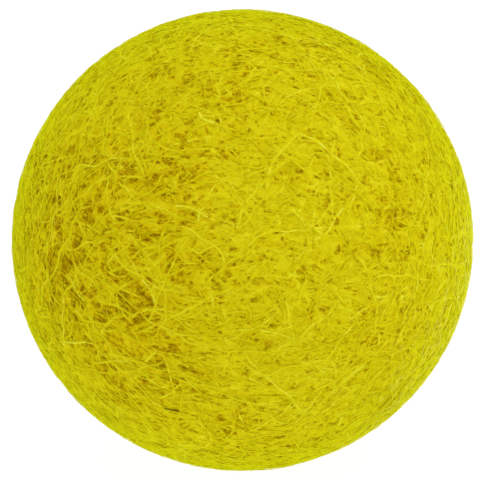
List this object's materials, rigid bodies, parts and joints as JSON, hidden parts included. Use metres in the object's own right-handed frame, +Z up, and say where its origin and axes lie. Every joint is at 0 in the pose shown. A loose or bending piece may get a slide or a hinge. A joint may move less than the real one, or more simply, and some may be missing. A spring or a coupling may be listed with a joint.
{
  "type": "felt ball",
  "caption": "Round ball of wet-felted wool in chartreuse yellow, lightly hairy, with a small flat spot that it rests on.",
  "frame": {"origin": "middle of the small flat spot that the ball rests on", "axes": "+Z up through the middle of the ball, -Y towards the front"},
  "size_m": [0.02, 0.02, 0.0197],
  "materials": {
    "wool_felt": "matt felted wool, chartreuse yellow"
  },
  "bodies": {
    "root": {"felt_ball": "wool_felt"}
  },
  "joints": []
}
